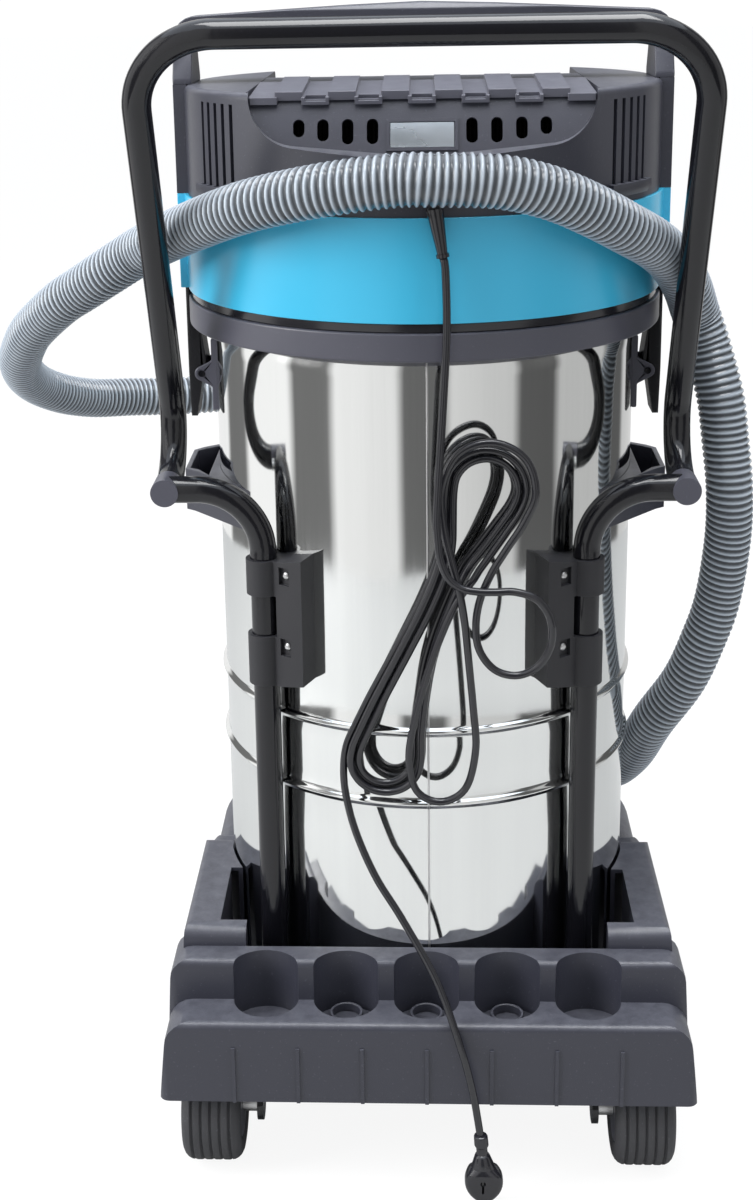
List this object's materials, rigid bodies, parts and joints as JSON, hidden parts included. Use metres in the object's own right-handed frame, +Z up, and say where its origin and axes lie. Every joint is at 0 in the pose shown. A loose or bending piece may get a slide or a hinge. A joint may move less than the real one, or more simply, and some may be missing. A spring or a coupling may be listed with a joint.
{
  "type": "wet and dry vacuum cleaner",
  "caption": "Upright steel tank vacuum cleaner on a wheeled base with a blue and black motor head, raked push handle, draped ribbed hose and hanging mains cord.",
  "frame": {"origin": "on the floor under the vertical axis of the tank, at the middle of the base", "axes": "+Z up; +Y towards the hose inlet at the front; -Y towards the push handle and accessory shelf at the rear; +X to the right seen from the rear"},
  "size_m": [0.7836, 0.7689, 1.0977],
  "materials": {
    "black_plastic": "fine-grained moulded plastic, satin",
    "grey_plastic": "dark grey moulded plastic, satin",
    "blue_plastic": "blue moulded plastic, semi gloss",
    "stainless": "mirror-polished stainless sheet",
    "zinc_steel": "zinc-plated steel",
    "fan_alloy": "plain aluminium",
    "rating_foil": "bare printed foil plate, left blank",
    "tyre_rubber": "dark solid rubber, matte",
    "soft_rubber": "black flexible cord sheath",
    "gloss_black_tube": "gloss black powder coat on steel tube",
    "gloss_black_latch": "gloss black plastic",
    "filter_cloth": "off-white filter cloth",
    "float_white": "white plastic float",
    "rocker_red": "red rocker",
    "hose_grey": "silver grey ribbed hose"
  },
  "bodies": {
    "cleaner": {"trolley_base": "black_plastic", "bay_spigots": "black_plastic", "tube_sockets": "black_plastic", "rear_brackets": "gloss_black_tube", "rear_axles": "zinc_steel", "castor_plates": "zinc_steel", "tank_drum": "stainless", "inlet_port": "black_plastic", "tank_collar": "grey_plastic", "head_seal": "soft_rubber", "side_grips": "black_plastic", "latch_brackets": "grey_plastic", "latch_pins": "gloss_black_tube", "frame_tube_left": "gloss_black_tube", "frame_tube_right": "gloss_black_tube", "tank_clamps": "black_plastic", "clamp_screws": "zinc_steel", "push_handle": "gloss_black_tube", "handle_joints": "grey_plastic", "handle_bolts": "zinc_steel", "head_lower": "blue_plastic", "filter_ring": "black_plastic", "filter_bag": "filter_cloth", "motor_plate": "black_plastic", "float_cage": "grey_plastic", "fan_housings": "black_plastic", "motor_bodies": "zinc_steel", "head_cover": "black_plastic", "top_comb": "grey_plastic", "rating_plate": "rating_foil", "switch_bezels": "grey_plastic", "carry_handle": "black_plastic", "strain_relief": "soft_rubber", "cord_lead": "soft_rubber", "cord_hank": "soft_rubber", "cord_tail": "soft_rubber", "plug": "soft_rubber", "hose": "hose_grey", "hose_cuff_inlet": "black_plastic", "hose_cuff_end": "black_plastic"},
    "rear_wheel_left": {"rear_hub_left": "grey_plastic", "rear_tyre_left": "tyre_rubber"},
    "rear_wheel_right": {"rear_hub_right": "grey_plastic", "rear_tyre_right": "tyre_rubber"},
    "castor_left": {"castor_fork_left": "zinc_steel", "castor_axle_left": "zinc_steel"},
    "castor_wheel_left": {"castor_hub_left": "grey_plastic", "castor_tyre_left": "tyre_rubber"},
    "castor_right": {"castor_fork_right": "zinc_steel", "castor_axle_right": "zinc_steel"},
    "castor_wheel_right": {"castor_hub_right": "grey_plastic", "castor_tyre_right": "tyre_rubber"},
    "latch_left": {"latch_lever_left": "gloss_black_latch"},
    "latch_right": {"latch_lever_right": "gloss_black_latch"},
    "fan_rotor_left": {"fan_left": "fan_alloy"},
    "fan_rotor_right": {"fan_right": "fan_alloy"},
    "float": {"float_ball": "float_white"},
    "rocker_left": {"switch_left": "rocker_red"},
    "rocker_right": {"switch_right": "rocker_red"}
  },
  "joints": [
    {"name": "rear_wheel_left_roll", "type": "hinge", "parent": "cleaner", "child": "rear_wheel_left", "pos_m": [-0.208, -0.216, 0.055], "axis": [1, 0, 0], "continuous": true},
    {"name": "castor_left_swivel", "type": "hinge", "parent": "cleaner", "child": "castor_left", "pos_m": [-0.16, 0.165, 0.1], "axis": [0, 0, 1], "continuous": true},
    {"name": "castor_left_roll", "type": "hinge", "parent": "castor_left", "child": "castor_wheel_left", "pos_m": [-0.16, 0.14, 0.0375], "axis": [1, 0, 0], "continuous": true},
    {"name": "latch_left_open", "type": "hinge", "parent": "cleaner", "child": "latch_left", "pos_m": [-0.219, 0, 0.745], "axis": [0, -1, 0], "range_deg": [0, 18]},
    {"name": "fan_left_spin", "type": "hinge", "parent": "cleaner", "child": "fan_rotor_left", "pos_m": [-0.09, 0, 0.93], "axis": [0, 0, 1], "continuous": true},
    {"name": "switch_left_rock", "type": "hinge", "parent": "cleaner", "child": "rocker_left", "pos_m": [-0.04, 0.12067, 0.99043], "axis": [1, 0, 0], "range_deg": [0, 16]},
    {"name": "rear_wheel_right_roll", "type": "hinge", "parent": "cleaner", "child": "rear_wheel_right", "pos_m": [0.208, -0.216, 0.055], "axis": [1, 0, 0], "continuous": true},
    {"name": "castor_right_swivel", "type": "hinge", "parent": "cleaner", "child": "castor_right", "pos_m": [0.16, 0.165, 0.1], "axis": [0, 0, 1], "continuous": true},
    {"name": "castor_right_roll", "type": "hinge", "parent": "castor_right", "child": "castor_wheel_right", "pos_m": [0.16, 0.14, 0.0375], "axis": [1, 0, 0], "continuous": true},
    {"name": "latch_right_open", "type": "hinge", "parent": "cleaner", "child": "latch_right", "pos_m": [0.219, 0, 0.745], "axis": [0, 1, 0], "range_deg": [0, 18]},
    {"name": "fan_right_spin", "type": "hinge", "parent": "cleaner", "child": "fan_rotor_right", "pos_m": [0.09, 0, 0.93], "axis": [0, 0, 1], "continuous": true},
    {"name": "switch_right_rock", "type": "hinge", "parent": "cleaner", "child": "rocker_right", "pos_m": [0.04, 0.12067, 0.99043], "axis": [1, 0, 0], "range_deg": [0, 16]},
    {"name": "float_rise", "type": "slide", "parent": "cleaner", "child": "float", "axis": [0, 0, 1], "range_m": [0, 0.047]}
  ]
}
